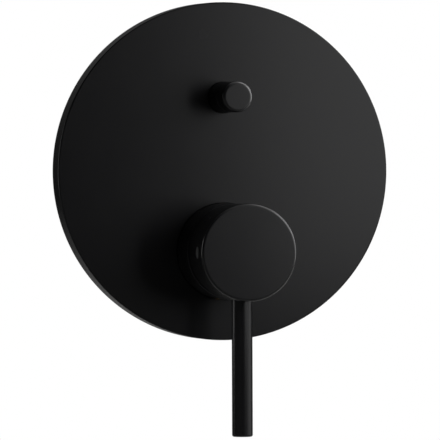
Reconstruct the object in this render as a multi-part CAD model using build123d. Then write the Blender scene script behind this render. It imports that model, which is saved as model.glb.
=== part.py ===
from build123d import *
import os
from math import radians, sin, sqrt

# A concealed single-lever bath and shower mixer with a pull diverter.
# Millimetres, +Z up, the front faces -Y. The origin is the centre of the four fixing holes, on the
# rear plane of the lugs. "Forward" is the distance from that plane towards the front of the mixer.

# Place of the mixer in the wall
wall_depth = 62.0  # rear plane of the lugs to the finished wall
axis_spacing = 75.0  # handle axis to diverter axis
axis_drop = 1.5  # centre of the plate down to the middle of the two axes

# Clearances
close_fit = 0.05  # radial, pieces that are pushed or screwed together
slide_fit = 0.05  # radial, spindle and pivot that run in a bore
free_gap = 0.3  # pieces that pass each other
face_gap = 0.05  # flat faces that slide or seat on each other

# Cover plate
plate_d = 165.0
plate_depth = 13.0
plate_wall = 2.0
plate_edge = 0.6
plate_hole_gap = 0.35
seal_width = 3.2
seal_depth = 2.5
seal_rim_wall = 1.6
gasket_width = 5.0

# Handle, lever and fixed sleeve
handle_d = 47.0
sleeve_reach = 22.0  # plate front to the front of the sleeve
sleeve_insert = 8.0  # length of sleeve behind the plate front
sleeve_wall = 2.0
sleeve_front_wall = 4.0
sleeve_mouth_d = 32.0
sleeve_edge = 0.4
handle_gap = 5.0
handle_length = 25.0
handle_skirt = 2.0
handle_front_wall = 4.0
handle_edge = 0.75
handle_back_edge = 0.4
hub_d = 18.0
hub_setback = 5.0
lever_d = 10.0
lever_tip_drop = 89.0  # handle axis to the lever tip
lever_forward = 9.5  # back of the handle to the lever axis
lever_seat = 1.2
lever_tip_edge = 0.8
lever_boss_d = 14.0
spigot_d = 8.0
spigot_length = 8.0
handle_screw_d = 5.0
handle_screw_length = 8.0
handle_screw_forward = 14.5  # back of the handle to the screw axis
plug_d = 6.0
plug_length = 1.8
plug_recess = 0.2

# Cartridge
cartridge_d = 34.8
base_depth = 6.0
base_port_d = 6.4
side_port_x = 7.5
side_port_drop = 4.0
mixed_port_rise = 9.0
port_seal_width = 1.6
port_seal_depth = 1.5
peg_d = 3.6
peg_length = 3.0
peg_x = 13.5
housing_length = 30.0
housing_wall = 1.8
housing_front_wall = 3.2
disc_depth = 4.0
moving_disc_d = 23.0
moving_disc_recess = 2.0
moving_disc_rim = 3.2
carrier_rim = 0.5
carrier_flange = 2.4
carrier_depth = 4.6
carrier_flat_width = 18.4
guide_neck_d = 17.2
guide_neck_length = 6.5
guide_slot_height = 15.0
rail_width = 2.0
rail_height = 14.0
stem_width = 7.0
stem_front = 16.5  # back of the handle to the front end of the stem
stem_neck_d = 4.0
ball_d = 6.0
ball_flat_d = 1.6
ball_arm = 12.6  # pivot to the ball at the inner end of the stem
pivot_set = 6.0  # pivot to the front of the cartridge housing
pivot_pin_d = 3.0
pivot_boss_d = 9.0
pin_length = 24.0
lift_angle = 20.0
nut_depth = 5.0
nut_bore_d = 25.0
nut_slot_width = 4.0
nut_slot_depth = 2.0
thread_depth = 1.8  # cup bore to the thread of the nut

# Brass body
groove_width = 2.2
groove_depth = 1.3
o_ring_d = 1.5
o_ring_sides = 8
o_ring_set = 4.0  # plate front back to the middle of the ring
chamber_d = 44.0
chamber_back = 18.5
port_forward = 30.0
inlet_reach = 46.0
outlet_reach = 72.0
port_thread_d = 18.6
port_thread_length = 15.0
port_collar_d = 30.0
port_collar_length = 17.0
port_tube_d = 26.0
port_passage_d = 12.0
passage_wall = 3.2
gallery_d = 9.0
drill_past = 1.5  # drillings run this far past the face that they break into
mixed_x = -5.0
bath_x = 8.4
bath_back = 12.0
bath_turn_z = -6.0
lug_x = 30.0
lug_z = 20.0
lug_hole_d = 5.5
lug_width = 15.0
lug_depth = 5.0
foot_width = 24.0

# Diverter
knob_d = 15.0
collar_reach = 16.5
collar_front_wall = 2.0
collar_edge = 0.4
knob_gap = 1.4
knob_length = 12.0
knob_edge = 0.6
knob_back_edge = 0.4
knob_socket = 9.0
knob_screw_d = 3.0
knob_screw_forward = 4.0
spindle_d = 6.0
diverter_chamber_d = 34.0
diverter_chamber_floor = 5.0
rear_bore_d = 12.0
rear_bore_length = 12.0
seat_depth = 32.0  # finished wall back to the seat of the shower side
mixed_bore_d = 19.0
seat_spacing = 14.0
bonnet_thread_d = 21.0
bonnet_groove_d = 25.0
bonnet_groove_width = 7.0
bonnet_bore_d = 12.0
bonnet_bore_length = 12.0
bonnet_window_d = 6.0
bonnet_window_set = 7.0  # front seat to the middle of the windows
bonnet_windows = 4
bonnet_hex = 24.0
bonnet_hex_depth = 4.0
bonnet_washer_depth = 1.0
bonnet_washer_d = 24.0
nose_bore_set = 1.0  # hexagon front back to the bore of the nose
nose_wall = 1.2
piston_d = 15.0
piston_depth = 3.0
washer_depth = 2.0
piston_nut_hex = 8.0
piston_nut_depth = 4.0
spindle_tail = 1.0
spindle_seal_depth = 1.4
spindle_seal_groove = 0.9
clip_depth = 1.0
clip_width = 1.4
spring_wire_d = 1.0
spring_wire_sides = 6
spring_turns = 6.0
spring_play = 0.4  # spring to the spindle, radial

# Places that follow from the sizes above
handle_z = -axis_spacing / 2 - axis_drop
diverter_z = handle_z + axis_spacing
plate_front = wall_depth + plate_depth
plate_back = plate_front - plate_wall
handle_r = handle_d / 2
sleeve_front = plate_front + sleeve_reach
sleeve_back = plate_front - sleeve_insert
sleeve_bore_r = handle_r - sleeve_wall
cup_front = sleeve_front - sleeve_front_wall
cup_r = sleeve_bore_r - free_gap
handle_back = sleeve_front + handle_gap
handle_front = handle_back + handle_length
lever_axis = handle_back + lever_forward
lever_root_z = handle_z - handle_r + lever_seat
handle_screw_axis = handle_back + handle_screw_forward

housing_front = cup_front - nut_depth
base_front = housing_front - housing_length
cartridge_floor = base_front - base_depth
housing_bore_r = cartridge_d / 2 - housing_wall
cup_bore_r = cartridge_d / 2 + close_fit
disc_front = base_front + disc_depth
moving_back = disc_front + face_gap
moving_front = moving_back + disc_depth
carrier_front = moving_front + carrier_depth
guide_back = carrier_front + free_gap
guide_front = housing_front - housing_front_wall - free_gap
pivot = housing_front - pivot_set
ball = pivot - ball_arm
disc_travel = ball_arm * sin(radians(lift_angle))
disc_z = handle_z + disc_travel / 2
nut_r = cup_bore_r + thread_depth - close_fit
bath_thread_end = port_thread_length - outlet_reach
bath_low_z = bath_thread_end + gallery_d / 2 + drill_past

collar_r = knob_d / 2
collar_front = plate_front + collar_reach
knob_back = collar_front + knob_gap
knob_front = knob_back + knob_length
spindle_r = spindle_d / 2
rear_seat = wall_depth - seat_depth
rear_bore_back = rear_seat - rear_bore_length
diverter_chamber_back = rear_bore_back - diverter_chamber_floor
front_seat = rear_seat + seat_spacing
mixed_forward = rear_seat + seat_spacing / 2
bath_front = front_seat + bonnet_window_set
shower_forward = (rear_bore_back + rear_seat) / 2
piston_back = rear_seat + face_gap + washer_depth
piston_front = piston_back + piston_depth
bonnet_washer_front = wall_depth + bonnet_washer_depth
hex_front = bonnet_washer_front + bonnet_hex_depth
bonnet_guide_back = front_seat + bonnet_bore_length
nose_bore_back = hex_front - nose_bore_set
spring_r = spindle_r + spring_play + spring_wire_d / 2
nose_bore_r = spring_r + spring_wire_d / 2 + free_gap
nose_r = nose_bore_r + nose_wall
spring_front = collar_front - collar_front_wall - face_gap
clip_front = nose_bore_back + free_gap + clip_depth
spring_back = clip_front + face_gap
knob_screw_axis = knob_back + knob_screw_forward
spindle_seal_middle = (bonnet_guide_back + nose_bore_back) / 2


def at(x, forward, z):
    """Point from its side, forward and height distances."""
    return Vector(x, -forward, z)


def turned(points, z):
    """Turned piece about the forward axis at height z, from (radius, forward) points."""
    section = Plane((0, 0, z), x_dir=(1, 0, 0), z_dir=(0, 0, -1))
    return revolve(make_face(section * Polyline(*points, close=True)), Axis((0, 0, z), (0, -1, 0)))


def ring(inner_r, outer_r, back, front, z):
    """Flat ring about the forward axis at height z."""
    return turned([(inner_r, back), (outer_r, back), (outer_r, front), (inner_r, front)], z)


def rod(diameter, start, end):
    """Round bar between two (x, forward, z) points."""
    line = at(*end) - at(*start)
    return extrude(Plane(at(*start), z_dir=line) * Circle(diameter / 2), line.length)


def prism(outline, x, back, front, z):
    """Flat outline, drawn as seen from the front, extruded from back to front."""
    return extrude(Plane(at(x, back, z), x_dir=(1, 0, 0), z_dir=(0, -1, 0)) * outline, front - back)


def cover_plate():
    """Dished round plate, open at the back, with a rim for the seal round each hole."""
    outer_r = plate_d / 2
    rim_r = outer_r - plate_wall
    plate = turned([(0, plate_back), (rim_r, plate_back), (rim_r, wall_depth), (outer_r, wall_depth),
                    (outer_r, plate_front - plate_edge), (outer_r - plate_edge, plate_front),
                    (0, plate_front)], 0)
    for radius, z in ((handle_r, handle_z), (collar_r, diverter_z)):
        seal_r = radius + close_fit + seal_width
        plate += ring(seal_r + close_fit, seal_r + seal_rim_wall, plate_back - seal_depth, plate_back, z)
        hole_d = 2 * (radius + plate_hole_gap)
        plate -= rod(hole_d, (0, plate_back, z), (0, plate_front, z))
    return plate


def plate_seal(radius, z):
    """Rubber ring behind the plate that grips a sleeve of this radius."""
    inner_r = radius + close_fit
    return ring(inner_r, inner_r + seal_width, plate_back - seal_depth, plate_back, z)


def wall_gasket():
    """Foam ring inside the rim of the plate, between plate and wall."""
    outer_r = plate_d / 2 - plate_wall - free_gap
    return ring(outer_r - gasket_width, outer_r, wall_depth, plate_back, 0)


def handle_sleeve():
    """Fixed sleeve that slides over the cartridge cup and stops on its front face."""
    mouth_r = sleeve_mouth_d / 2
    return turned([(sleeve_bore_r, sleeve_back), (handle_r, sleeve_back),
                   (handle_r, sleeve_front - sleeve_edge), (handle_r - sleeve_edge, sleeve_front),
                   (mouth_r, sleeve_front), (mouth_r, cup_front), (sleeve_bore_r, cup_front)], handle_z)


def handle():
    """Hollow turned handle with a square hub for the stem and a boss for the lever."""
    cavity_r = handle_r - handle_skirt
    cavity_front = handle_front - handle_front_wall
    hub_back = handle_back + hub_setback
    shell = turned([(0, cavity_front), (cavity_r, cavity_front), (cavity_r, handle_back),
                    (handle_r - handle_back_edge, handle_back), (handle_r, handle_back + handle_back_edge),
                    (handle_r, handle_front - handle_edge), (handle_r - handle_edge, handle_front),
                    (0, handle_front)], handle_z)
    hub = rod(hub_d, (0, hub_back, handle_z), (0, handle_front, handle_z))
    boss = rod(lever_boss_d, (0, lever_axis, handle_z), (0, lever_axis, handle_z - cavity_r - close_fit))
    boss &= rod(2 * handle_r, (0, handle_back, handle_z), (0, handle_front, handle_z))
    socket_width = stem_width + 2 * close_fit
    socket = prism(Rectangle(socket_width, socket_width), 0, handle_back,
                   handle_back + stem_front + face_gap, handle_z)
    spigot_end = lever_root_z + spigot_length + face_gap
    body = shell + (hub + boss - socket)
    body -= rod(lever_d + 2 * close_fit, (0, lever_axis, lever_root_z),
                (0, lever_axis, handle_z - handle_d))
    body -= rod(spigot_d + 2 * close_fit, (0, lever_axis, spigot_end), (0, lever_axis, lever_root_z))
    body -= rod(handle_screw_d + 2 * close_fit, (0, handle_screw_axis, handle_z),
                (-hub_d, handle_screw_axis, handle_z))
    body -= rod(plug_d, (-cavity_r + handle_skirt, handle_screw_axis, handle_z),
                (-handle_d, handle_screw_axis, handle_z))
    return body


def lever():
    """Slim round pin with a spigot that screws into the handle."""
    tip_z = handle_z - lever_tip_drop
    pin = rod(lever_d, (0, lever_axis, lever_root_z), (0, lever_axis, tip_z))
    pin = chamfer(pin.edges().filter_by(GeomType.CIRCLE).sort_by(Axis.Z)[0], lever_tip_edge)
    return pin + rod(spigot_d, (0, lever_axis, lever_root_z), (0, lever_axis, lever_root_z + spigot_length))


def handle_screw():
    """Grub screw from the side of the handle to the flat of the stem."""
    inner_x = -stem_width / 2 - face_gap
    outer_x = inner_x - handle_screw_length
    screw = rod(handle_screw_d, (inner_x, handle_screw_axis, handle_z),
                (outer_x, handle_screw_axis, handle_z))
    socket_plane = Plane(at(outer_x, handle_screw_axis, handle_z), z_dir=(1, 0, 0))
    return screw - extrude(socket_plane * RegularPolygon(handle_screw_d / 4, 6), handle_screw_d / 2)


def screw_plug():
    """Small cap in the side of the handle, over the grub screw."""
    outer_r = handle_r - plug_recess
    cap = rod(plug_d - 2 * close_fit, (-handle_r + plug_recess + plug_length, handle_screw_axis, handle_z),
              (-handle_d, handle_screw_axis, handle_z))
    return cap & rod(2 * outer_r, (0, handle_back, handle_z), (0, handle_front, handle_z))


def port_places():
    """Place of each port in the cartridge base: hot, cold and mixed water."""
    side_z = handle_z - side_port_drop
    return [(-side_port_x, side_z), (side_port_x, side_z), (0, handle_z + mixed_port_rise)]


def cartridge_base():
    """Round base with three ports, a groove round each and two locating pegs."""
    base = rod(cartridge_d, (0, cartridge_floor, handle_z), (0, base_front, handle_z))
    seal_r = base_port_d / 2 + port_seal_width
    for x, z in port_places():
        base -= rod(2 * (seal_r + close_fit), (x, cartridge_floor, z),
                    (x, cartridge_floor + port_seal_depth, z))
        base -= rod(base_port_d, (x, cartridge_floor, z), (x, base_front, z))
    for x in (-peg_x, peg_x):
        base += rod(peg_d, (x, cartridge_floor - peg_length, handle_z), (x, base_front, handle_z))
    return base


def base_seals():
    """Three rubber rings, one in each groove of the base."""
    seals = []
    for x, z in port_places():
        back = (x, cartridge_floor, z)
        front = (x, cartridge_floor + port_seal_depth, z)
        seals.append(rod(base_port_d + 2 * port_seal_width, back, front) - rod(base_port_d, back, front))
    return Compound(children=seals)


def cartridge_housing():
    """Round shell over the discs, with a hole in front for the neck of the guide."""
    neck_hole_r = guide_neck_d / 2 + free_gap
    inner_front = housing_front - housing_front_wall
    outer_r = cartridge_d / 2
    return turned([(housing_bore_r, base_front), (outer_r, base_front), (outer_r, housing_front),
                   (neck_hole_r, housing_front), (neck_hole_r, inner_front), (housing_bore_r, inner_front)],
                  handle_z)


def fixed_disc():
    """Lower ceramic disc with the three ports."""
    disc_d = 2 * (housing_bore_r - free_gap)
    disc = rod(disc_d, (0, base_front, handle_z), (0, disc_front, handle_z))
    for x, z in port_places():
        disc -= rod(base_port_d, (x, base_front, z), (x, disc_front, z))
    return disc


def moving_disc():
    """Upper ceramic disc with a recess that joins the ports as it slides."""
    disc = rod(moving_disc_d, (0, moving_back, disc_z), (0, moving_front, disc_z))
    recess_d = moving_disc_d - 2 * moving_disc_rim
    return disc - rod(recess_d, (0, moving_back, disc_z), (0, moving_back + moving_disc_recess, disc_z))


def disc_carrier():
    """Cap on the moving disc, flat-sided in front to run between the rails of the guide."""
    carrier_d = moving_disc_d + 2 * carrier_rim
    flange_front = moving_front + carrier_flange
    flange = rod(carrier_d, (0, moving_front, disc_z), (0, flange_front, disc_z))
    block = rod(carrier_d, (0, flange_front, disc_z), (0, carrier_front, disc_z))
    block &= prism(Rectangle(carrier_flat_width, carrier_d), 0, flange_front, carrier_front, disc_z)
    socket_d = ball_d + 4 * slide_fit
    return flange + block - rod(socket_d, (0, moving_front, handle_z), (0, carrier_front, handle_z))


def turn_guide():
    """Barrel that turns in the housing, slotted for the stem, with rails for the disc carrier."""
    barrel_r = housing_bore_r - free_gap
    neck_front = guide_front + guide_neck_length
    guide = rod(2 * barrel_r, (0, guide_back, handle_z), (0, guide_front, handle_z))
    guide += rod(guide_neck_d, (0, guide_front, handle_z), (0, neck_front, handle_z))
    rail_back = moving_front + carrier_flange + free_gap
    rail_x = carrier_flat_width / 2 + free_gap + rail_width / 2
    for x in (-rail_x, rail_x):
        guide += prism(Rectangle(rail_width, rail_height), x, rail_back, guide_back, handle_z)
    slot_width = stem_width + 2 * free_gap
    guide -= prism(Rectangle(slot_width, guide_slot_height), 0, guide_back, neck_front, handle_z)
    return guide - rod(pivot_pin_d + 2 * close_fit, (-housing_bore_r, pivot, handle_z),
                       (housing_bore_r, pivot, handle_z))


def pivot_pin():
    """Steel pin that carries the stem in the guide."""
    return rod(pivot_pin_d, (-pin_length / 2, pivot, handle_z), (pin_length / 2, pivot, handle_z))


def stem():
    """Square stem that tilts on the pivot pin, with a ball that drives the disc carrier."""
    half = stem_width / 2
    ball_r = ball_d / 2
    neck_r = stem_neck_d / 2
    shank = prism(Rectangle(stem_width, stem_width), 0, pivot, handle_back + stem_front, handle_z)
    boss = rod(pivot_boss_d, (-half, pivot, handle_z), (half, pivot, handle_z))
    shoulder = ball + sqrt(ball_r ** 2 - neck_r ** 2)
    flat_r = ball_flat_d / 2
    flat = ball - sqrt(ball_r ** 2 - flat_r ** 2)
    side = ThreePointArc((flat_r, flat), (ball_r, ball), (neck_r, shoulder))
    side += Polyline((neck_r, shoulder), (neck_r, pivot), (0, pivot), (0, flat), (flat_r, flat))
    section = Plane((0, 0, handle_z), x_dir=(1, 0, 0), z_dir=(0, 0, -1))
    knuckle = revolve(make_face(section * side), Axis((0, 0, handle_z), (0, -1, 0)))
    eye_d = pivot_pin_d + 4 * slide_fit
    return shank + boss + knuckle - rod(eye_d, (-half, pivot, handle_z), (half, pivot, handle_z))


def cartridge_nut():
    """Ring nut in the mouth of the cup, with four spanner slots."""
    nut = ring(nut_bore_d / 2, nut_r, housing_front, housing_front + nut_depth, handle_z)
    front = housing_front + nut_depth
    for size in ((nut_slot_width, 2 * nut_r), (2 * nut_r, nut_slot_width)):
        nut -= prism(Rectangle(*size), 0, front - nut_slot_depth, front, handle_z)
    return nut


def sleeve_o_ring():
    """Rubber ring in the groove of the cup, which holds the sleeve."""
    middle_r = sleeve_bore_r - close_fit - o_ring_d / 2
    section = Plane((0, 0, handle_z), x_dir=(1, 0, 0), z_dir=(0, 0, -1))
    outline = Pos(middle_r, plate_front - o_ring_set) * RegularPolygon(o_ring_d / 2, o_ring_sides)
    return revolve(section * outline, Axis((0, 0, handle_z), (0, -1, 0)))


def along(start, end, distance):
    """Point on the line from start to end, at a distance from start."""
    line = Vector(*end) - Vector(*start)
    point = Vector(*start) + line.normalized() * distance
    return (point.X, point.Y, point.Z)


def bath_gallery():
    """Corners of the passage from the diverter down to the bath outlet."""
    return [(bath_x, bath_front, diverter_z), (bath_x, bath_front, bath_turn_z),
            (bath_x, bath_back, bath_turn_z), (bath_x, bath_back, bath_low_z),
            (bath_x, port_forward, bath_low_z)]


def gallery(diameter, corners):
    """Straight drillings through the corners, each run on past its ends by half a diameter."""
    runs = []
    for start, end in zip(corners, corners[1:]):
        runs.append(rod(diameter, along(start, end, -diameter / 2), along(end, start, -diameter / 2)))
    return runs


def ports():
    """Mouth and inner end of each threaded port: hot, cold, shower and bath."""
    return [((-inlet_reach, port_forward, handle_z), (0, port_forward, handle_z)),
            ((inlet_reach, port_forward, handle_z), (0, port_forward, handle_z)),
            ((0, port_forward, outlet_reach), (0, port_forward, diverter_z)),
            ((0, port_forward, -outlet_reach), (0, port_forward, handle_z))]


def valve_body():
    """Brass casting: cartridge cup, diverter chamber, four ports, galleries and fixing lugs."""
    mixed_low = (mixed_x, mixed_forward, handle_z + mixed_port_rise)
    mixed_high = (mixed_x, mixed_forward, diverter_z)
    gallery_outer = gallery_d + 2 * passage_wall

    body = rod(chamber_d, (0, chamber_back, handle_z), (0, cartridge_floor, handle_z))
    body += rod(2 * cup_r, (0, chamber_back, handle_z), (0, cup_front, handle_z))
    body += rod(diverter_chamber_d, (0, diverter_chamber_back, diverter_z), (0, wall_depth, diverter_z))
    for mouth, inner in ports():
        body += rod(port_tube_d, mouth, inner)
        body += rod(port_collar_d, mouth, along(mouth, inner, port_collar_length))
    body += gallery(gallery_outer, bath_gallery())
    body += rod(gallery_outer, mixed_low, mixed_high)
    body += prism(Rectangle(foot_width, 2 * lug_z + lug_width), 0, 0, mixed_forward, 0)
    for z in (-lug_z, lug_z):
        body += prism(SlotCenterToCenter(2 * lug_x, lug_width), 0, 0, lug_depth, z)
        for x in (-lug_x, lug_x):
            body -= rod(lug_hole_d, (x, 0, z), (x, lug_depth, z))

    body -= rod(2 * cup_bore_r, (0, cartridge_floor, handle_z), (0, cup_front, handle_z))
    body -= rod(2 * (nut_r + close_fit), (0, housing_front - nut_slot_depth, handle_z),
                (0, cup_front, handle_z))
    groove_middle = plate_front - o_ring_set
    body -= ring(cup_r - groove_depth, cup_r + close_fit, groove_middle - groove_width / 2,
                 groove_middle + groove_width / 2, handle_z)
    for x in (-peg_x, peg_x):
        body -= rod(peg_d + 2 * close_fit, (x, cartridge_floor - peg_length - face_gap, handle_z),
                    (x, cartridge_floor, handle_z))

    hot, cold, mixed = port_places()
    for x, z in (hot, cold):
        body -= rod(base_port_d, (x, port_forward, z), (x, cartridge_floor, z))
    body -= rod(base_port_d, (mixed[0], mixed_forward, mixed[1]), (mixed[0], cartridge_floor, mixed[1]))
    for mouth, inner in ports():
        body -= rod(port_thread_d, mouth, along(mouth, inner, port_thread_length))
    for side in (-1, 1):
        body -= rod(port_passage_d, (side * inlet_reach, port_forward, handle_z),
                    (side * (side_port_x - base_port_d / 2), port_forward, handle_z))

    body -= rod(rear_bore_d, (0, rear_bore_back, diverter_z), (0, wall_depth, diverter_z))
    body -= rod(mixed_bore_d, (0, rear_seat, diverter_z), (0, wall_depth, diverter_z))
    body -= rod(bonnet_thread_d, (0, front_seat, diverter_z), (0, wall_depth, diverter_z))
    groove_back = bath_front - bonnet_groove_width / 2
    body -= rod(bonnet_groove_d, (0, groove_back, diverter_z),
                (0, groove_back + bonnet_groove_width, diverter_z))
    body -= rod(gallery_d, along(mixed_low, mixed_high, -drill_past), mixed_high)
    body -= rod(gallery_d, (0, shower_forward, diverter_z),
                (0, shower_forward, outlet_reach - port_thread_length + drill_past))
    body -= rod(port_passage_d, (0, port_forward, bath_thread_end - drill_past),
                (0, port_forward, bath_low_z + drill_past))
    return body - gallery(gallery_d, bath_gallery())


def diverter_bonnet():
    """Screwed bonnet that guides the spindle and holds the front seat."""
    thread_r = bonnet_thread_d / 2 - close_fit
    bore_r = bonnet_bore_d / 2
    guide_r = spindle_r + slide_fit
    bonnet = turned([(bore_r, front_seat), (thread_r, front_seat), (thread_r, hex_front),
                     (nose_r, hex_front), (nose_r, spring_front), (nose_bore_r, spring_front),
                     (nose_bore_r, nose_bore_back), (guide_r, nose_bore_back),
                     (guide_r, bonnet_guide_back), (bore_r, bonnet_guide_back)], diverter_z)
    flange = prism(RegularPolygon(bonnet_hex / 2, 6, major_radius=False), 0, bonnet_washer_front, hex_front,
                   diverter_z)
    bonnet += flange - rod(bonnet_bore_d, (0, bonnet_washer_front, diverter_z), (0, hex_front, diverter_z))
    window = rod(bonnet_window_d, (0, bath_front, diverter_z), (0, bath_front, diverter_z + bonnet_thread_d))
    for turn in range(bonnet_windows):
        bonnet -= window.rotate(Axis(at(0, 0, diverter_z), (0, 1, 0)), turn * 360 / bonnet_windows)
    return bonnet


def bonnet_washer():
    """Flat washer between the bonnet and the body."""
    return ring(bonnet_thread_d / 2, bonnet_washer_d / 2, wall_depth, bonnet_washer_front, diverter_z)


def diverter_collar():
    """Fixed collar that screws over the nose of the bonnet."""
    bore_r = nose_r + close_fit
    hole_r = spindle_r + slide_fit
    back = hex_front
    inner_front = collar_front - collar_front_wall
    return turned([(bore_r, back), (collar_r, back), (collar_r, collar_front - collar_edge),
                   (collar_r - collar_edge, collar_front), (hole_r, collar_front), (hole_r, inner_front),
                   (bore_r, inner_front)], diverter_z)


def diverter_spindle():
    """Round spindle from the piston nut to the socket of the knob, grooved for its seal."""
    tail = rear_seat + face_gap - piston_nut_depth - spindle_tail
    spindle = rod(spindle_d, (0, tail, diverter_z), (0, knob_back + knob_socket, diverter_z))
    groove_r = spindle_r - spindle_seal_groove
    return spindle - ring(groove_r, spindle_r + close_fit, spindle_seal_middle - spindle_seal_depth / 2,
                          spindle_seal_middle + spindle_seal_depth / 2, diverter_z)


def spindle_seal():
    """Rubber ring in the groove of the spindle."""
    return ring(spindle_r - spindle_seal_groove + close_fit, spindle_r,
                spindle_seal_middle - spindle_seal_depth / 2 + face_gap,
                spindle_seal_middle + spindle_seal_depth / 2 - face_gap, diverter_z)


def piston_disc():
    """Brass disc on the spindle, between the two washers."""
    return ring(spindle_r + close_fit, piston_d / 2, piston_back, piston_front, diverter_z)


def piston_washers():
    """Front and rear rubber washers of the piston."""
    rear = ring(spindle_r + close_fit, piston_d / 2, piston_back - washer_depth, piston_back, diverter_z)
    front = ring(spindle_r + close_fit, piston_d / 2, piston_front, piston_front + washer_depth, diverter_z)
    return Compound(children=[rear, front])


def piston_nut():
    """Hexagon nut that holds the piston on the spindle."""
    front = piston_back - washer_depth
    back = front - piston_nut_depth
    nut = prism(RegularPolygon(piston_nut_hex / 2, 6, major_radius=False), 0, back, front, diverter_z)
    return nut - rod(spindle_d + 2 * close_fit, (0, back, diverter_z), (0, front, diverter_z))


def spring_clip():
    """Retaining ring on the spindle, behind the spring."""
    outer_r = spindle_r + clip_width
    return ring(spindle_r + close_fit, outer_r, clip_front - clip_depth, clip_front, diverter_z)


def return_spring():
    """Coil spring that draws the knob back in."""
    length = spring_front - spring_back - spring_wire_d
    coil = Helix(pitch=length / spring_turns, height=length, radius=spring_r)
    section = Plane(coil @ 0, z_dir=coil % 0) * RegularPolygon(spring_wire_d / 2, spring_wire_sides)
    wire = sweep(section, path=coil, is_frenet=True)
    start = at(0, spring_back + spring_wire_d / 2, diverter_z)
    return Plane(start, x_dir=(1, 0, 0), z_dir=(0, -1, 0)) * wire


def diverter_knob():
    """Small round pull knob with a blind socket and a hole for its grub screw."""
    outer_r = knob_d / 2
    socket_r = spindle_r + close_fit
    socket_front = knob_back + knob_socket + face_gap
    knob = turned([(socket_r, knob_back), (outer_r - knob_back_edge, knob_back),
                   (outer_r, knob_back + knob_back_edge), (outer_r, knob_front - knob_edge),
                   (outer_r - knob_edge, knob_front), (0, knob_front), (0, socket_front),
                   (socket_r, socket_front)], diverter_z)
    return knob - rod(knob_screw_d + 2 * close_fit, (0, knob_screw_axis, diverter_z - knob_d),
                      (0, knob_screw_axis, diverter_z))


def knob_screw():
    """Grub screw from the underside of the knob to the spindle."""
    top_z = diverter_z - spindle_r - face_gap
    low_z = diverter_z - knob_d / 2 + plug_recess
    screw = rod(knob_screw_d, (0, knob_screw_axis, low_z), (0, knob_screw_axis, top_z))
    socket_plane = Plane(at(0, knob_screw_axis, low_z), z_dir=(0, 0, 1))
    return screw - extrude(socket_plane * RegularPolygon(knob_screw_d / 4, 6), knob_screw_d / 2)


pieces = {
    "cover_plate": cover_plate(),
    "sleeve_seal": plate_seal(handle_r, handle_z),
    "collar_seal": plate_seal(collar_r, diverter_z),
    "wall_gasket": wall_gasket(),
    "handle_sleeve": handle_sleeve(),
    "handle": handle(),
    "lever": lever(),
    "handle_screw": handle_screw(),
    "screw_plug": screw_plug(),
    "cartridge_base": cartridge_base(),
    "base_seals": base_seals(),
    "cartridge_housing": cartridge_housing(),
    "fixed_disc": fixed_disc(),
    "moving_disc": moving_disc(),
    "disc_carrier": disc_carrier(),
    "turn_guide": turn_guide(),
    "pivot_pin": pivot_pin(),
    "stem": stem(),
    "cartridge_nut": cartridge_nut(),
    "sleeve_o_ring": sleeve_o_ring(),
    "valve_body": valve_body(),
    "diverter_bonnet": diverter_bonnet(),
    "bonnet_washer": bonnet_washer(),
    "diverter_collar": diverter_collar(),
    "diverter_spindle": diverter_spindle(),
    "spindle_seal": spindle_seal(),
    "piston_disc": piston_disc(),
    "piston_washers": piston_washers(),
    "piston_nut": piston_nut(),
    "spring_clip": spring_clip(),
    "return_spring": return_spring(),
    "diverter_knob": diverter_knob(),
    "knob_screw": knob_screw(),
}

os.makedirs("parts", exist_ok=True)
for name, piece in pieces.items():
    export_step(piece, f"parts/{name}.step")
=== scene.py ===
"""Concealed bath and shower mixer in matte black: its finishes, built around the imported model.

Lengths are in metres, in the model's own frame: +Z is up and the front faces -Y. "Forward" is the
distance towards the front, so a point's y is minus its forward distance.
"""

from math import cos, pi, radians, sin, tan

import bmesh
import bpy
from bpy.props import FloatProperty, FloatVectorProperty, IntProperty, PointerProperty
from mathutils import Matrix, Vector, noise


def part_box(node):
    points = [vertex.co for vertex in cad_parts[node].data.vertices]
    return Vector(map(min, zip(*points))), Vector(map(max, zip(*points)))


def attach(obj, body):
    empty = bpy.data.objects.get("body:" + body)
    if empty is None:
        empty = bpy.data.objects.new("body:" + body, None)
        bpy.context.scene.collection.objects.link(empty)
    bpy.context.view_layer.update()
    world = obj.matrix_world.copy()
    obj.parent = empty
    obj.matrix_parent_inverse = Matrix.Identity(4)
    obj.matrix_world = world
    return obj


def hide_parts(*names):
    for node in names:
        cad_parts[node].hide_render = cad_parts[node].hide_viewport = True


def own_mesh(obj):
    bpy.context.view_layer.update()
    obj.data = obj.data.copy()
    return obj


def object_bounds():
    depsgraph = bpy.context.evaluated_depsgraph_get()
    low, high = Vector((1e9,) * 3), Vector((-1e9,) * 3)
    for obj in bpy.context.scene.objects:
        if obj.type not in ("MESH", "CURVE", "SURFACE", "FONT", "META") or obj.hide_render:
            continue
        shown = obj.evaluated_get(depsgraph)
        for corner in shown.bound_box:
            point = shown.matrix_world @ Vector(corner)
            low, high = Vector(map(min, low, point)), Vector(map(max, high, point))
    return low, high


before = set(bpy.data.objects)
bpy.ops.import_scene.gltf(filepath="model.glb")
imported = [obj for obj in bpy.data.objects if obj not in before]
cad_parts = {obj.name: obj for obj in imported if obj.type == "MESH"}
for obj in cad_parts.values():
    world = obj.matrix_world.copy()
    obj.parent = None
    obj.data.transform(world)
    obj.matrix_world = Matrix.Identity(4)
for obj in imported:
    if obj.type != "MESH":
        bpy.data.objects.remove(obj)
cad_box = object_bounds()

bl_info = {
    "name": "Bath shower mixer",
    "version": (1, 0, 0),
    "blender": (4, 5, 0),
    "location": "3D View > Sidebar > Mixer",
    "description": "Builds the finished looks of a concealed bath and shower mixer",
    "category": "Add Mesh",
}

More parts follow.
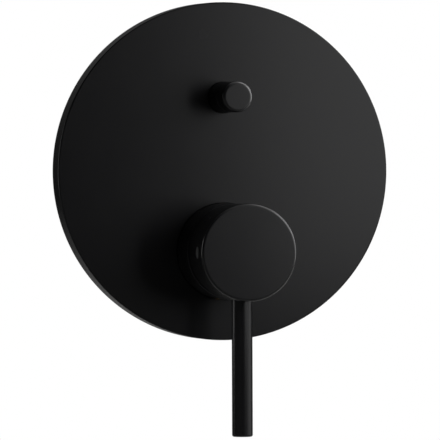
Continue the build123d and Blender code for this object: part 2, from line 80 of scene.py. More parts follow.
MM = 0.001
FORWARD = Vector((0, -1, 0))
UP = Vector((0, 0, 1))
LEFT = Vector((-1, 0, 0))
HIGHLIGHT_SIDE = (0.85, 0, 0.53)  # direction of the side of handle and knob whose edges get more gloss: partly where fingers rub, partly a painted highlight where the lamps on the right and above light them
TURNED_STEPS = 160  # sides of a large turned piece
SMALL_STEPS = 96  # sides of a small turned piece
HOLE_STEPS = 48  # sides of a drilled hole
WIRE_STEPS = 12  # sides of the spring's wire
ROUND_STEPS = 5  # facets of a rounded edge
SUPPORT = 0.12 * MM  # loop beside a rounded edge, which keeps the flat beside it flat
BREAK = 0.2 * MM  # small rounding that takes the sharpness off an edge
FIT = 0.05 * MM  # gap between pieces that are pushed or screwed together
CRISP = radians(35)  # edges sharper than this stay crisp
NOTHING = 1e-9  # a radius below this lies on the axis
WAVE = 2 * pi / 20  # width of one wave of a wave texture at scale 1

# Places on the brass body in millimetres, as in the solids
REACH_X = 46  # mouths of the inlets
REACH_Z = 72  # mouths of the outlets
PORT = 30  # axis of the four ports, forward of the lugs
WALL = 62  # front face of the casting, in the plane of the wall
CUP = 93  # front of the cartridge's cup
LUG_X, LUG_Z, LUG_DEPTH = 30, 20, 5  # fixing holes and thickness of the lugs
GALLERY_X, GALLERY_FRONT, GALLERY_BACK = 8.4, 51, 12  # way from the diverter down to the bath
GALLERY_TURN, GALLERY_LOW = -6, -51  # heights where it turns backwards and forwards
MIXED_X, MIXED, MIXED_RISE = -5, 37, 9  # way of the mixed water from the cartridge up to the diverter
SPARE = 1.5  # by how much a raw end stands proud of its cut
PAST = 2  # by how much a cutter runs past the surface

# Place and size of each lamp in metres, and the angle in degrees over which it spreads
LAMPS = {
    "key": ((0.242, -0.483, 0.06), 0.27, 180),
    "side": ((0.868, -0.374, 0.237), 0.95, 180),
    "high": ((0.211, -0.532, 0.401), 0.8, 180),
    "back": ((0.75, 0.6, 0.45), 0.7, 180),
    "left": ((-0.62, 0.25, 0.05), 0.3, 180),
    "top": ((0.5, -0.115, 0.85), 0.8, 40),
}
FLOOR_RADIUS = 2.5


def linear(code):
    """Linear colour of an sRGB hex value."""
    channels = [int(code[i:i + 2], 16) / 255 for i in (1, 3, 5)]
    return [c / 12.92 if c <= 0.04045 else ((c + 0.055) / 1.055) ** 2.4 for c in channels]


def length(name, description, millimetres):
    """Property for a length, written in millimetres."""
    return FloatProperty(name=name, description=description, default=millimetres * MM, min=0,
                         subtype="DISTANCE", unit="LENGTH", precision=5)


def colour(name, description, code):
    """Property for a colour, written as an sRGB hex value."""
    return FloatVectorProperty(name=name, description=description, default=linear(code), size=3,
                               min=0, max=1, subtype="COLOR")


def angle(name, description, degrees):
    """Property for an angle, written in degrees."""
    return FloatProperty(name=name, description=description, default=radians(degrees),
                         subtype="ANGLE", unit="ROTATION")


def power(name, description, watts):
    """Property for the power of a lamp."""
    return FloatProperty(name=name, description=description + ", in watts", default=watts, min=0)


class MixerTrim(bpy.types.PropertyGroup):
    """Edges and colour of the pieces in front of the wall."""

    plate_edge: length("Plate edge", "Radius of the plate's front edge", 0.7)
    handle_edge: length("Handle edge", "Radius of the handle's front edge", 1.2)
    sleeve_edge: length("Sleeve edge", "Radius of the edges either side of the gap", 0.4)
    lever_edge: length("Lever edge", "Radius of the edge at the lever's tip", 0.9)
    knob_edge: length("Knob edge", "Radius of the knob's front edge", 1.5)
    coat: colour("Powder coat", "Colour of the black powder coat", "#0b0b0c")
    coat_thin: colour("Thin coat", "Colour where the powder lies thinner", "#0e0e0f")


class MixerBody(bpy.types.PropertyGroup):
    """Sizes and colours of the brass body behind the wall, its threads and the return spring."""

    grain: length("Casting grain", "Size of the grains that the mould leaves on the brass", 0.6)
    voxel: length("Casting step", "Size of the steps in which the casting's soft form is made", 0.9)
    passes: IntProperty(name="Softening", description="Passes that round the casting's corners",
                        default=8, min=0)
    flash: length("Parting line", "Height of the line where the two halves of the mould met", 0.3)
    thread_pitch: length("Thread pitch", "Pitch of the threads in the four ports", 1.814)
    thread_depth: length("Thread depth", "Depth of the threads in the four ports", 1.16)
    thread_length: length("Thread length", "Length of the threads in the four ports", 13)
    wire: length("Spring wire", "Diameter of the return spring's wire", 1.0)
    turns: FloatProperty(name="Spring turns", description="Open turns of the return spring",
                         default=6.0, min=1)
    cast: colour("Cast brass", "Colour of the brass as it was cast", "#b08d55")
    cast_dull: colour("Cast brass, dull", "Colour of the brass where the mould has dulled it", "#84683c")
    turned: colour("Turned brass", "Colour of freshly cut brass", "#d9b770")


class MixerStage(bpy.types.PropertyGroup):
    """Camera and light."""

    yaw: angle("Camera yaw", "How far the camera stands to the left of the front", 13.7)
    pitch: angle("Camera pitch", "How far the camera looks down", 0.65)
    roll: angle("Camera roll", "How far the camera leans to the right", 0.22)
    distance: length("Camera distance", "From the camera to the front of the plate", 3000)
    view: length("View", "Height of the view at the front of the plate", 214.7)
    aim_left: length("Aim, left", "From the middle of the plate left to the point looked at", 1.85)
    aim_down: length("Aim, down", "From the middle of the plate down to the point looked at", 23.8)
    floor_drop: length("Floor drop", "From the lever's tip down to the floor", 170)
    key: power("Key light", "Power of the soft light in front, on the right", 1.48)
    side: power("Side light", "Power of the large soft light on the right", 8.9)
    high: power("High light", "Power of the soft light in front and above", 1.45)
    back: power("Back light", "Power of the soft light behind", 7.0)
    left: power("Left light", "Power of the soft light on the left, past the plate", 1.2)
    top: power("Top light", "Power of the narrow light above the handle", 0.4)
    ambient: FloatProperty(name="Ambient", description="Level of the light from all round",
                           default=0.01, min=0)


# Meshes


def at(x, forward, z):
    """Point in metres from its side, forward and height distances in millimetres."""
    return Vector((x, -forward, z)) * MM


def rounded(corners):
    """Outline with rounded corners. A corner is (radius from the axis, forward, rounding)."""
    outline = []
    for i, (across, forward, rounding) in enumerate(corners):
        here = Vector((across, forward))
        if not rounding:
            outline.append(here)
            continue
        back = (Vector(corners[i - 1][:2]) - here).normalized()
        on = (Vector(corners[(i + 1) % len(corners)][:2]) - here).normalized()
        half = back.angle(on) / 2
        reach = rounding / tan(half)
        centre = here + (back + on).normalized() * rounding / sin(half)
        first, last = here + back * reach - centre, here + on * reach - centre
        outline.append(here + back * (reach + SUPPORT))
        for step in range(ROUND_STEPS + 1):
            outline.append(centre + first.slerp(last, step / ROUND_STEPS) * rounding)
        outline.append(here + on * (reach + SUPPORT))
    return outline


def add_turned(mesh, corners, origin, axis, steps):
    """Adds a turned form to a mesh. An outline that starts on the axis ends there; any other closes on
    itself."""
    solid = corners[0][0] == 0
    turn = Matrix.Translation(origin) @ axis.to_track_quat("Z", "Y").to_matrix().to_4x4()
    rings = []
    for across, forward in rounded(corners):
        sides = 1 if across < NOTHING else steps
        angles = [2 * pi * k / steps for k in range(sides)]
        ring = [turn @ Vector((across * cos(a), across * sin(a), forward)) for a in angles]
        rings.append([mesh.verts.new(point) for point in ring])
    faces = []
    for one, two in zip(rings, rings[1:] + ([] if solid else rings[:1])):
        for k in range(steps):
            n = (k + 1) % steps
            loop = [one[k % len(one)], one[n % len(one)], two[n % len(two)], two[k % len(two)]]
            faces.append(mesh.faces.new(dict.fromkeys(loop)))
    bmesh.ops.recalc_face_normals(mesh, faces=faces)


def lathe(name, corners, origin, axis, steps=TURNED_STEPS):
    """Turned piece about an axis."""
    mesh = bmesh.new()
    add_turned(mesh, corners, origin, axis, steps)
    return finished(name, mesh)


def finished(name, mesh):
    """Object at the origin from an edited mesh."""
    data = bpy.data.meshes.new(name)
    mesh.to_mesh(data)
    mesh.free()
    data.shade_smooth()
    data.set_sharp_from_angle(angle=CRISP)
    piece = bpy.data.objects.new(name, data)
    bpy.context.scene.collection.objects.link(piece)
    return piece


def bar_corners(diameter, reach):
    """Outline of a plain round bar."""
    return [(0, 0, 0), (diameter / 2, 0, 0), (diameter / 2, reach, 0), (0, reach, 0)]


def bar(name, diameter, start, end, steps=HOLE_STEPS):
    """Plain round bar between two points, used to cut holes and to build up a form."""
    return lathe(name, bar_corners(diameter, (end - start).length), start, end - start, steps)


def joined(piece, tool, operation):
    """Piece with a tool cut from it or joined to it. The tool goes; its material stays on its faces."""
    modifier = piece.modifiers.new(operation, "BOOLEAN")
    modifier.operation = operation
    modifier.solver = "MANIFOLD"
    modifier.material_mode = "TRANSFER"
    modifier.object = tool
    keep_result(piece)
    bpy.data.objects.remove(tool)
    return piece


def keep_result(piece):
    """Makes what the modifiers give the piece's own plain mesh."""
    shown = piece.evaluated_get(bpy.context.evaluated_depsgraph_get())
    mesh = bpy.data.meshes.new_from_object(shown)
    if not mesh.polygons:
        raise RuntimeError(f"{piece.name} has no faces left")
    mesh.name = piece.name
    piece.modifiers.clear()
    piece.data = mesh
    mesh.shade_smooth()
    mesh.set_sharp_from_angle(angle=CRISP)


def dress(piece, body, slot, material, *nodes):
    """Gives a finished piece its material, its body and the nodes that it stands for."""
    piece.data.materials.clear()
    piece.data.materials.append(material)
    ride(piece, body, slot, *nodes)


def ride(piece, body, slot, *nodes):
    """Gives a piece that has its materials its body and the nodes that it stands for."""
    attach(piece, body)
    if nodes:
        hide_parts(*nodes)


def extent(node):
    """Half width, middle height, back and front of a turned node."""
    low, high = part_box(node)
    return (high.x - low.x) / 2, (high.z + low.z) / 2, -high.y, -low.y


# Materials


def add(tree, kind, inputs=None, **settings):
    """Node with its settings. Each input is a value or the socket that feeds it."""
    node = tree.nodes.new(kind)
    for name, value in settings.items():
        setattr(node, name, value)
    for name, value in (inputs or {}).items():
        if isinstance(value, bpy.types.NodeSocket):
            tree.links.new(value, node.inputs[name])
        else:
            node.inputs[name].default_value = value
    return node


def new_material(name):
    """Empty material, its tree and the socket that gives a point's place on the piece."""
    material = bpy.data.materials.new(name)
    material.use_nodes = True
    tree = material.node_tree
    tree.nodes.clear()
    return material, tree, add(tree, "ShaderNodeTexCoord").outputs["Object"]


def opaque(rgb):
    """Colour with full alpha."""
    return (*rgb, 1)


def skin(tree, pattern, tones, rough, relief=(), more=None):
    """Finishes a material's tree. The pattern runs the colour between two tones. The roughness is one
    number, or a pattern and the two ends that it runs between. The relief is a pattern, its strength
    and its depth. Settings of the shader come last."""
    tint = add(tree, "ShaderNodeMix", {"Factor": pattern, "A": opaque(tones[0]), "B": opaque(tones[1])},
               data_type="RGBA")
    inputs = {"Base Color": tint.outputs["Result"], "Roughness": rough, **(more or {})}
    if isinstance(rough, tuple):
        wear, smooth, dull = rough
        sheen = add(tree, "ShaderNodeMapRange", {"Value": wear, "To Min": smooth, "To Max": dull})
        inputs["Roughness"] = sheen.outputs["Result"]
    if relief:
        height, strength, depth = relief
        bump = add(tree, "ShaderNodeBump", {"Height": height, "Strength": strength, "Distance": depth})
        inputs["Normal"] = bump.outputs["Normal"]
    shader = add(tree, "ShaderNodeBsdfPrincipled", inputs)
    add(tree, "ShaderNodeOutputMaterial", {"Surface": shader.outputs["BSDF"]})


def coated(name, gloss, smooth, rough, polish_and_highlight=None):
    """Black coat with its gloss and the two ends of its roughness. A polished coat has a higher gloss
    on the side that faces up and to the right: partly where fingers rub, partly a painted highlight."""
    trim = bpy.context.scene.mixer_trim
    material, tree, place = new_material(name)
    cloud = add(tree, "ShaderNodeTexNoise", {"Vector": place, "Scale": 1 / (18 * MM), "Detail": 3.0})
    film = cloud.outputs["Fac"]
    # the real grain is about 0.1 mm, drawn at 0.5 mm so that it shows
    grain = add(tree, "ShaderNodeTexNoise", {"Vector": place, "Scale": 1 / (0.5 * MM), "Detail": 2.0})
    if polish_and_highlight:
        # the gloss rises on the upper right side: a painted highlight placed where the lamps light the
        # edges, on top of real polish from fingers
        facing = add(tree, "ShaderNodeTexCoord").outputs["Normal"]
        toward_highlight = add(tree, "ShaderNodeVectorMath", {0: facing, 1: HIGHLIGHT_SIDE}, operation="DOT_PRODUCT")
        shine = add(tree, "ShaderNodeMapRange", {"Value": toward_highlight.outputs["Value"], "From Min": -0.15,
                                                 "From Max": 0.45, "To Min": gloss, "To Max": polish_and_highlight})
        gloss = shine.outputs["Result"]
    skin(tree, film, (trim.coat, trim.coat_thin), (film, smooth, rough),
         (grain.outputs["Fac"], 0.12, 0.03 * MM), {"IOR": 1.5, "Specular IOR Level": gloss})
    return material


def powder_coat():
    """Black polyester powder coat, baked on brass: an even, deep black skin with a very fine grain.
    It gives back little light, as a soft bloom, and changes in the film show only as faint clouds."""
    return coated("powder_coat_black", 0.083, 0.255, 0.28)


def powder_coat_handled():
    """The same coat on the pieces that hands move: a little smoother, so it gives back a little more."""
    return coated("powder_coat_handled", 0.108, 0.255, 0.28)


def powder_coat_edge():
    """The same coat on a rounded edge, where fingers have polished it: it catches a thin bright line,
    partly a painted highlight, as its gloss rises on the upper right side where the lamps light it.
    """
    return coated("powder_coat_polished", 0.108, 0.2, 0.23, 0.5)


def powder_coat_knob_edge():
    """The same coat on the edge of the knob, which fingertips pull: polished more than the handle's,
    and its gloss raised so that its painted highlight line comes out brighter.
    """
    return coated("powder_coat_polished_knob", 0.108, 0.2, 0.23, 0.85)


def cast_brass():
    """Brass cast in sand and shot-blasted: a dull yellow skin, pitted by the grains of the mould,
    browner in patches where the sand burnt on, so it gives back only broad, broken lights."""
    body = bpy.context.scene.mixer_body
    material, tree, place = new_material("cast_brass_blasted")
    patch = add(tree, "ShaderNodeTexNoise", {"Vector": place, "Scale": 1 / (14 * MM), "Detail": 4.0})
    burnt = patch.outputs["Fac"]
    grains = add(tree, "ShaderNodeTexVoronoi", {"Vector": place, "Scale": 1 / body.grain})
    fine = add(tree, "ShaderNodeTexNoise", {"Vector": place, "Scale": 2 / body.grain, "Detail": 3.0})
    pits = add(tree, "ShaderNodeMath", {0: grains.outputs["Distance"], 1: fine.outputs["Fac"]},
               operation="MULTIPLY")
    dull = add(tree, "ShaderNodeMapRange", {"Value": burnt, "From Min": 0.35, "From Max": 0.65})
    skin(tree, dull.outputs["Result"], (body.cast, body.cast_dull), (burnt, 0.38, 0.62),
         (pits.outputs["Value"], 0.6, 0.25 * MM), {"Metallic": 1.0})
    return material


def cut_brass():
    """Brass cut by drills and milling cutters: clean and bright, with faint chatter marks."""
    body = bpy.context.scene.mixer_body
    material, tree, place = new_material("cut_brass")
    # cutter marks are about 0.15 mm apart, drawn at 0.6 mm so that they show
    cutter = add(tree, "ShaderNodeTexNoise", {"Vector": place, "Scale": 1 / (0.6 * MM), "Detail": 2.0})
    marks = cutter.outputs["Fac"]
    stain = add(tree, "ShaderNodeTexNoise", {"Vector": place, "Scale": 1 / (9 * MM), "Detail": 2.0})
    skin(tree, stain.outputs["Fac"], (body.turned, body.cast), (marks, 0.2, 0.36),
         (marks, 0.15, 0.05 * MM), {"Metallic": 1.0})
    return material


def turned_brass(name, height):
    """Brass turned on a lathe: bright, with fine rings round the axis at this height on the flat faces
    and fine lines round the sides, which draw the light out into streaks."""
    body = bpy.context.scene.mixer_body
    material, tree, place = new_material(name)
    moved = add(tree, "ShaderNodeMapping", {"Vector": place, "Location": (0, 0, -height)})
    centred = moved.outputs["Vector"]
    # the tool leaves lines about 0.1 mm apart, drawn at 0.4 mm so that they show
    lines = WAVE / (0.4 * MM)
    faces = add(tree, "ShaderNodeTexWave", {"Vector": centred, "Scale": lines, "Distortion": 0.4},
                wave_type="RINGS", rings_direction="Y")
    sides = add(tree, "ShaderNodeTexWave", {"Vector": centred, "Scale": lines, "Distortion": 0.4},
                wave_type="BANDS", bands_direction="Y")
    marks = add(tree, "ShaderNodeMath", {0: faces.outputs["Fac"], 1: sides.outputs["Fac"]},
                operation="ADD")
    patch = add(tree, "ShaderNodeTexNoise", {"Vector": place, "Scale": 1 / (8 * MM), "Detail": 3.0})
    stain = patch.outputs["Fac"]
    skin(tree, stain, (body.turned, body.cast), (stain, 0.18, 0.34),
         (marks.outputs["Value"], 0.12, 0.02 * MM), {"Metallic": 1.0})
    return material


def turned_brass_cartridge():
    """Turned brass on the axis of the handle."""
    return turned_brass("turned_brass_cartridge", extent("handle_sleeve")[1])


def turned_brass_diverter():
    """Turned brass on the axis of the diverter."""
    return turned_brass("turned_brass_diverter", extent("diverter_collar")[1])


def patterned(name, cell, detail, codes, rough, relief=(), more=None, stretch=None):
    """Material with one pattern of noise, its cells in millimetres. It runs the colour between two sRGB
    hex values and the roughness, unless that is one number, between two ends. Its relief is a strength
    and a depth in millimetres."""
    material, tree, place = new_material(name)
    if stretch:
        place = add(tree, "ShaderNodeMapping", {"Vector": place, "Scale": stretch}).outputs["Vector"]
    cells = add(tree, "ShaderNodeTexNoise", {"Vector": place, "Scale": 1 / (cell * MM), "Detail": detail})
    pattern = cells.outputs["Fac"]
    if isinstance(rough, tuple):
        rough = (pattern, *rough)
    if relief:
        strength, depth = relief
        relief = (pattern, strength, depth * MM)
    skin(tree, pattern, [linear(code) for code in codes], rough, relief, more)
    return material


def stainless_wire():
    """Stainless steel, drawn: grey and bright, with faint scratches along its length."""
    return patterned("stainless_steel_drawn", 0.3, 3.0, ("#b6b7b6", "#cbccca"), (0.22, 0.4),
                     more={"Metallic": 1.0}, stretch=(1, 0.1, 1))


def epdm_rubber():
    """Moulded EPDM rubber: deep black and dull, with a grey bloom in soft patches."""
    return patterned("epdm_rubber", 4, 4.0, ("#151515", "#2a2a29"), (0.62, 0.85), (0.1, 0.1),
                     {"IOR": 1.52})


def pe_foam():
    """Closed-cell polyethylene foam, cut from sheet: charcoal, its skin a net of small cut cells."""
    material, tree, place = new_material("pe_foam_charcoal")
    cells = add(tree, "ShaderNodeTexVoronoi", {"Vector": place, "Scale": 1 / (0.9 * MM)})
    walls = add(tree, "ShaderNodeMapRange",
                {"Value": cells.outputs["Distance"], "From Min": 0.1, "From Max": 0.6})
    net = walls.outputs["Result"]
    skin(tree, net, (linear("#28292b"), linear("#48494b")), 0.9, (net, 0.7, 0.3 * MM), {"IOR": 1.45})
    return material


def acetal():
    """Moulded acetal, the white plastic of cartridges: waxy, with faint flow marks."""
    return patterned("acetal_white", 6, 2.0, ("#d6d6cf", "#e4e4de"), (0.38, 0.52), more={"IOR": 1.48})


def alumina():
    """Alumina ceramic, lapped flat: ivory white, with a wet gloss and the faintest mottling."""
    return patterned("alumina_lapped", 2, 3.0, ("#e6e2d8", "#f0ede5"), (0.1, 0.18), more={"IOR": 1.76})


def pressed_fibre():
    """Vulcanised fibre, pressed: brick red and dull, with short fibres that show as streaks."""
    return patterned("vulcanised_fibre", 2, 4.0, ("#7d3a2b", "#9a4f3b"), 0.7, (0.2, 0.05),
                     stretch=(1, 1, 5))


def abs_black():
    """Moulded black ABS: a touch glossier than the powder coat round it, with a fine eroded grain."""
    # the real grain is about 0.1 mm, drawn at 0.4 mm so that it shows
    return patterned("abs_black", 0.4, 2.0, ("#1a1b1c", "#242526"), (0.34, 0.46), (0.1, 0.03),
                     {"IOR": 1.53})


MADE = {}


def finish(maker):
    """Material from its maker, made on first use."""
    if maker not in MADE:
        MADE[maker] = maker()
    return MADE[maker]


# Pieces


def polish_edge(piece, maker, front, rounding):
    """Gives the rounded front edge of a turned piece the polished finish, whose higher gloss on the
    upper right side is partly a painted highlight.
    """
    piece.data.materials.append(finish(maker))
    sideways, flat = 0.01, 0.96  # how far a face of the rounding looks forward
    for face in piece.data.polygons:
        if sideways < FORWARD.dot(face.normal) < flat and FORWARD.dot(face.center) > front - rounding:
            face.material_index = 1


class MIXER_OT_cover_plate(bpy.types.Operator):
    """Dished round cover plate with its two holes and the rims that hold the seals"""

    bl_idname = "mixer.cover_plate"
    bl_label = "Cover plate"

    def execute(self, context):
        trim = context.scene.mixer_trim
        radius, middle, back, front = extent("cover_plate")
        wall = 2 * MM
        inner = radius - wall
        plate = lathe("cover_plate_finished",
                      [(0, front - wall, 0), (inner, front - wall, 3 * BREAK), (inner, back, BREAK),
                       (radius, back, BREAK), (radius, front, trim.plate_edge), (0, front, 0)],
                      Vector((0, 0, middle)), FORWARD, 2 * TURNED_STEPS)
        rim_wall = 1.55 * MM
        hole_gap = 0.35 * MM
        for node, seal in (("handle_sleeve", "sleeve_seal"), ("diverter_collar", "collar_seal")):
            hole, height, _, _ = extent(node)
            rim, _, rim_back, rim_front = extent(seal)
            inside, outside = rim + FIT, rim + FIT + rim_wall
            root = rim_front + wall / 2
            centre = Vector((0, 0, height))
            ring = lathe("rim", [(inside, rim_back, 0), (outside, rim_back, BREAK), (outside, root, 0),
                                 (inside, root, 0)], centre, FORWARD)
            joined(plate, ring, "UNION")
            joined(plate, bar("hole", 2 * (hole + hole_gap), centre + FORWARD * rim_front,
                              centre + FORWARD * (front + wall), TURNED_STEPS), "DIFFERENCE")
        dress(plate, "mixer_body", "matte_black", finish(powder_coat), "cover_plate")
        return {"FINISHED"}


class MIXER_OT_handle(bpy.types.Operator):
    """Fixed sleeve, hollow handle and slim lever"""

    bl_idname = "mixer.handle"
    bl_label = "Handle"

    def execute(self, context):
        trim = context.scene.mixer_trim
        coat = finish(powder_coat)
        wall = 2 * MM
        front_wall = 4 * MM
        radius, height, back, front = extent("handle_sleeve")
        centre = Vector((0, 0, height))
        mouth = 16 * MM
        inner = radius - wall
        sleeve = lathe("handle_sleeve_finished",
                       [(inner, back, BREAK), (radius, back, BREAK), (radius, front, trim.sleeve_edge),
                        (mouth, front, trim.sleeve_edge), (mouth, front - front_wall, BREAK),
                        (inner, front - front_wall, 0)], centre, FORWARD)
        dress(sleeve, "mixer_body", "matte_black", coat, "handle_sleeve")

        radius, height, back, front = extent("handle")
        cavity = front - front_wall
        skirt = radius - wall
        handle = lathe("handle_finished",
                       [(0, cavity, 0), (skirt, cavity, 3 * BREAK), (skirt, back, BREAK),
                        (radius, back, trim.sleeve_edge), (radius, front, trim.handle_edge),
                        (0, front, 0)], centre, FORWARD)
        hub_d, hub_setback, boss_d, seat = 18 * MM, 5 * MM, 14 * MM, 1.2 * MM
        joined(handle, bar("hub", hub_d, centre + FORWARD * (back + hub_setback),
                           centre + FORWARD * (front - wall), SMALL_STEPS), "UNION")
        low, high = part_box("lever")
        lever_radius = (high.x - low.x) / 2
        pin = Vector((0, (low.y + high.y) / 2, 0))
        root = height - radius + seat
        joined(handle, bar("boss", boss_d, pin + UP * height, pin + UP * (height - radius + wall / 2),
                           SMALL_STEPS), "UNION")
        joined(handle, bar("seat", 2 * (lever_radius + FIT), pin + UP * root,
                           pin + UP * (height - 2 * radius), SMALL_STEPS), "DIFFERENCE")
        spigot = 4 * MM
        joined(handle, bar("spigot_hole", 2 * (spigot + FIT), pin + UP * (high.z + FIT),
                           pin + UP * (root - FIT)), "DIFFERENCE")
        stem_low, stem_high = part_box("stem")
        half = stem_high.x + FIT
        socket = bmesh.new()
        bmesh.ops.create_cube(socket, size=1)
        depth = -stem_low.y + FIT - back
        socket.transform(Matrix.Translation(centre + FORWARD * (back + depth / 2))
                         @ Matrix.Diagonal((2 * half, depth, 2 * half, 1)))
        joined(handle, finished("socket", socket), "DIFFERENCE")
        low_plug, high_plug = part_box("screw_plug")
        side = Vector((0, (low_plug.y + high_plug.y) / 2, height))
        joined(handle, bar("plug_hole", high_plug.z - low_plug.z + 2 * FIT, side + LEFT * (skirt - wall),
                           side + LEFT * 2 * radius), "DIFFERENCE")
        low_screw, high_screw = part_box("handle_screw")
        joined(handle, bar("screw_hole", high_screw.z - low_screw.z + 2 * FIT, side, side + LEFT * skirt),
               "DIFFERENCE")
        worn = finish(powder_coat_handled)
        dress(handle, "lever_handle", "matte_black", worn, "handle")
        polish_edge(handle, powder_coat_edge, front, trim.handle_edge)

        lever = lathe("lever_finished",
                      [(0, low.z, 0), (lever_radius, low.z, trim.lever_edge),
                       (lever_radius, root, BREAK), (spigot, root, 0), (spigot, high.z, BREAK),
                       (0, high.z, 0)], pin, UP, SMALL_STEPS)
        dress(lever, "lever_handle", "matte_black", worn, "lever")
        return {"FINISHED"}


class MIXER_OT_diverter(bpy.types.Operator):
    """Fixed collar and pull knob of the diverter"""

    bl_idname = "mixer.diverter"
    bl_label = "Diverter"

    def execute(self, context):
        trim = context.scene.mixer_trim
        coat = finish(powder_coat)
        radius, height, back, front = extent("diverter_collar")
        centre = Vector((0, 0, height))
        hole = extent("diverter_spindle")[0] + FIT
        front_wall = 2 * MM
        bore = 5.95 * MM
        collar = lathe("diverter_collar_finished",
                       [(bore, back, BREAK), (radius, back, BREAK), (radius, front, trim.sleeve_edge),
                        (hole, front, BREAK), (hole, front - front_wall, 0),
                        (bore, front - front_wall, 0)], centre, FORWARD, SMALL_STEPS)
        dress(collar, "mixer_body", "matte_black", coat, "diverter_collar")

        radius, height, back, front = extent("diverter_knob")
        socket = extent("diverter_spindle")[3] + FIT
        knob = lathe("diverter_knob_finished",
                     [(0, socket, 0), (hole, socket, 0), (hole, back, BREAK),
                      (radius, back, trim.sleeve_edge), (radius, front, trim.knob_edge), (0, front, 0)],
                     centre, FORWARD, SMALL_STEPS)
        low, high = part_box("knob_screw")
        screw = Vector((0, (low.y + high.y) / 2, height))
        joined(knob, bar("screw_hole", high.x - low.x + 2 * FIT, screw, screw - UP * 2 * radius),
               "DIFFERENCE")
        dress(knob, "diverter_rod", "matte_black", finish(powder_coat_handled), "diverter_knob")
        polish_edge(knob, powder_coat_knob_edge, front, trim.knob_edge)
        return {"FINISHED"}


def casting_bars(handle_z, diverter_z):
    """Round bars that make up the casting, as in the solids: diameter, start and end, in millimetres.
    Each end that is cut flat later stands proud of the cut."""
    pipe, mouth, mouth_length, gallery = 26.0, 30.0, 17, 15.4
    half, high = gallery / 2, 36
    x, near, far, low, turn = GALLERY_X, GALLERY_FRONT, GALLERY_BACK, GALLERY_LOW, GALLERY_TURN
    return [
        (44.0, (0, 18.5, handle_z), (0, 56, handle_z)),  # chamber behind the cartridge
        (34.0, (0, 13, diverter_z), (0, WALL + SPARE, diverter_z)),  # diverter chamber
        (pipe, (-REACH_X, PORT, handle_z), (REACH_X, PORT, handle_z)),  # hot and cold inlets
        (mouth, (-REACH_X - SPARE, PORT, handle_z), (-REACH_X + mouth_length, PORT, handle_z)),
        (mouth, (REACH_X + SPARE, PORT, handle_z), (REACH_X - mouth_length, PORT, handle_z)),
        (pipe, (0, PORT, -REACH_Z), (0, PORT, handle_z)),  # bath outlet
        (mouth, (0, PORT, -REACH_Z - SPARE), (0, PORT, -REACH_Z + mouth_length)),
        (pipe, (0, PORT, REACH_Z), (0, PORT, diverter_z)),  # shower outlet
        (mouth, (0, PORT, REACH_Z + SPARE), (0, PORT, REACH_Z - mouth_length)),
        (gallery, (x, near, high + half), (x, near, turn - half)),  # from the diverter to the bath
        (gallery, (x, near + half, turn), (x, far - half, turn)),
        (gallery, (x, far, turn + half), (x, far, low - half)),
        (gallery, (x, far - half, low), (x, PORT + half, low)),
        (gallery, (MIXED_X, MIXED, handle_z + MIXED_RISE), (MIXED_X, MIXED, diverter_z)),  # mixed water
    ]


def bore_bars(handle_z, diverter_z):
    """Drillings and bores in the casting, as in the solids: diameter, start and end, in millimetres."""
    thread_d, thread_end, port_d, gallery = 20.9, 15, 12.0, 9.0
    seal_d, seal_x, seal_drop, peg_d, peg_x, peg_depth, fixing_d = 6.4, 7.5, 4, 3.7, 13.5, 3.05, 5.5
    half, inlet_end = gallery / 2, 4.3
    floor, mixed_z, seal_z = 52, handle_z + MIXED_RISE, handle_z - seal_drop
    x, near, far, low, turn = GALLERY_X, GALLERY_FRONT, GALLERY_BACK, GALLERY_LOW, GALLERY_TURN
    bores = [
        (34.9, (0, floor, handle_z), (0, CUP + PAST, handle_z)),  # cup of the cartridge
        (38.5, (0, 86, handle_z), (0, CUP + PAST, handle_z)),  # thread of the ring nut
        (seal_d, (-seal_x, PORT, seal_z), (-seal_x, floor + PAST, seal_z)),  # hot and cold water
        (seal_d, (seal_x, PORT, seal_z), (seal_x, floor + PAST, seal_z)),
        (seal_d, (0, MIXED, mixed_z), (0, floor + PAST, mixed_z)),  # mixed water
        (peg_d, (-peg_x, floor - peg_depth, handle_z), (-peg_x, floor + PAST, handle_z)),
        (peg_d, (peg_x, floor - peg_depth, handle_z), (peg_x, floor + PAST, handle_z)),
        (port_d, (-REACH_X, PORT, handle_z), (-inlet_end, PORT, handle_z)),
        (port_d, (REACH_X, PORT, handle_z), (inlet_end, PORT, handle_z)),
        (12.0, (0, 18, diverter_z), (0, WALL + PAST, diverter_z)),  # diverter: bore, seats, bonnet
        (19.0, (0, 30, diverter_z), (0, WALL + PAST, diverter_z)),
        (21.0, (0, 44, diverter_z), (0, WALL + PAST, diverter_z)),
        (25.0, (0, 47.5, diverter_z), (0, 54.5, diverter_z)),
        (gallery, (MIXED_X, MIXED, handle_z + 7.5), (MIXED_X, MIXED, diverter_z)),
        (gallery, (0, 24, diverter_z), (0, 24, REACH_Z - thread_end + SPARE)),  # to the shower
        (port_d, (0, PORT, -REACH_Z + thread_end - SPARE), (0, PORT, low + SPARE)),  # to the bath
        (gallery, (x, near, diverter_z + half), (x, near, turn - half)),
        (gallery, (x, near + half, turn), (x, far - half, turn)),
        (gallery, (x, far, turn + half), (x, far, low - half)),
        (gallery, (x, far - half, low), (x, PORT + half, low)),
    ]
    for mouth, inward in port_mouths(handle_z):
        start = (mouth[0] - PAST * inward[0], mouth[1], mouth[2] - PAST * inward[2])
        end = (mouth[0] + thread_end * inward[0], mouth[1], mouth[2] + thread_end * inward[2])
        bores.append((thread_d, start, end))
    for side in (-LUG_X, LUG_X):
        for up in (-LUG_Z, LUG_Z):
            bores.append((fixing_d, (side, -PAST, up), (side, LUG_DEPTH + PAST, up)))
    return bores


def port_mouths(handle_z):
    """Middle of each port's mouth in millimetres, and the direction inwards."""
    return [((-REACH_X, PORT, handle_z), (1, 0, 0)), ((REACH_X, PORT, handle_z), (-1, 0, 0)),
            ((0, PORT, REACH_Z), (0, 0, -1)), ((0, PORT, -REACH_Z), (0, 0, 1))]


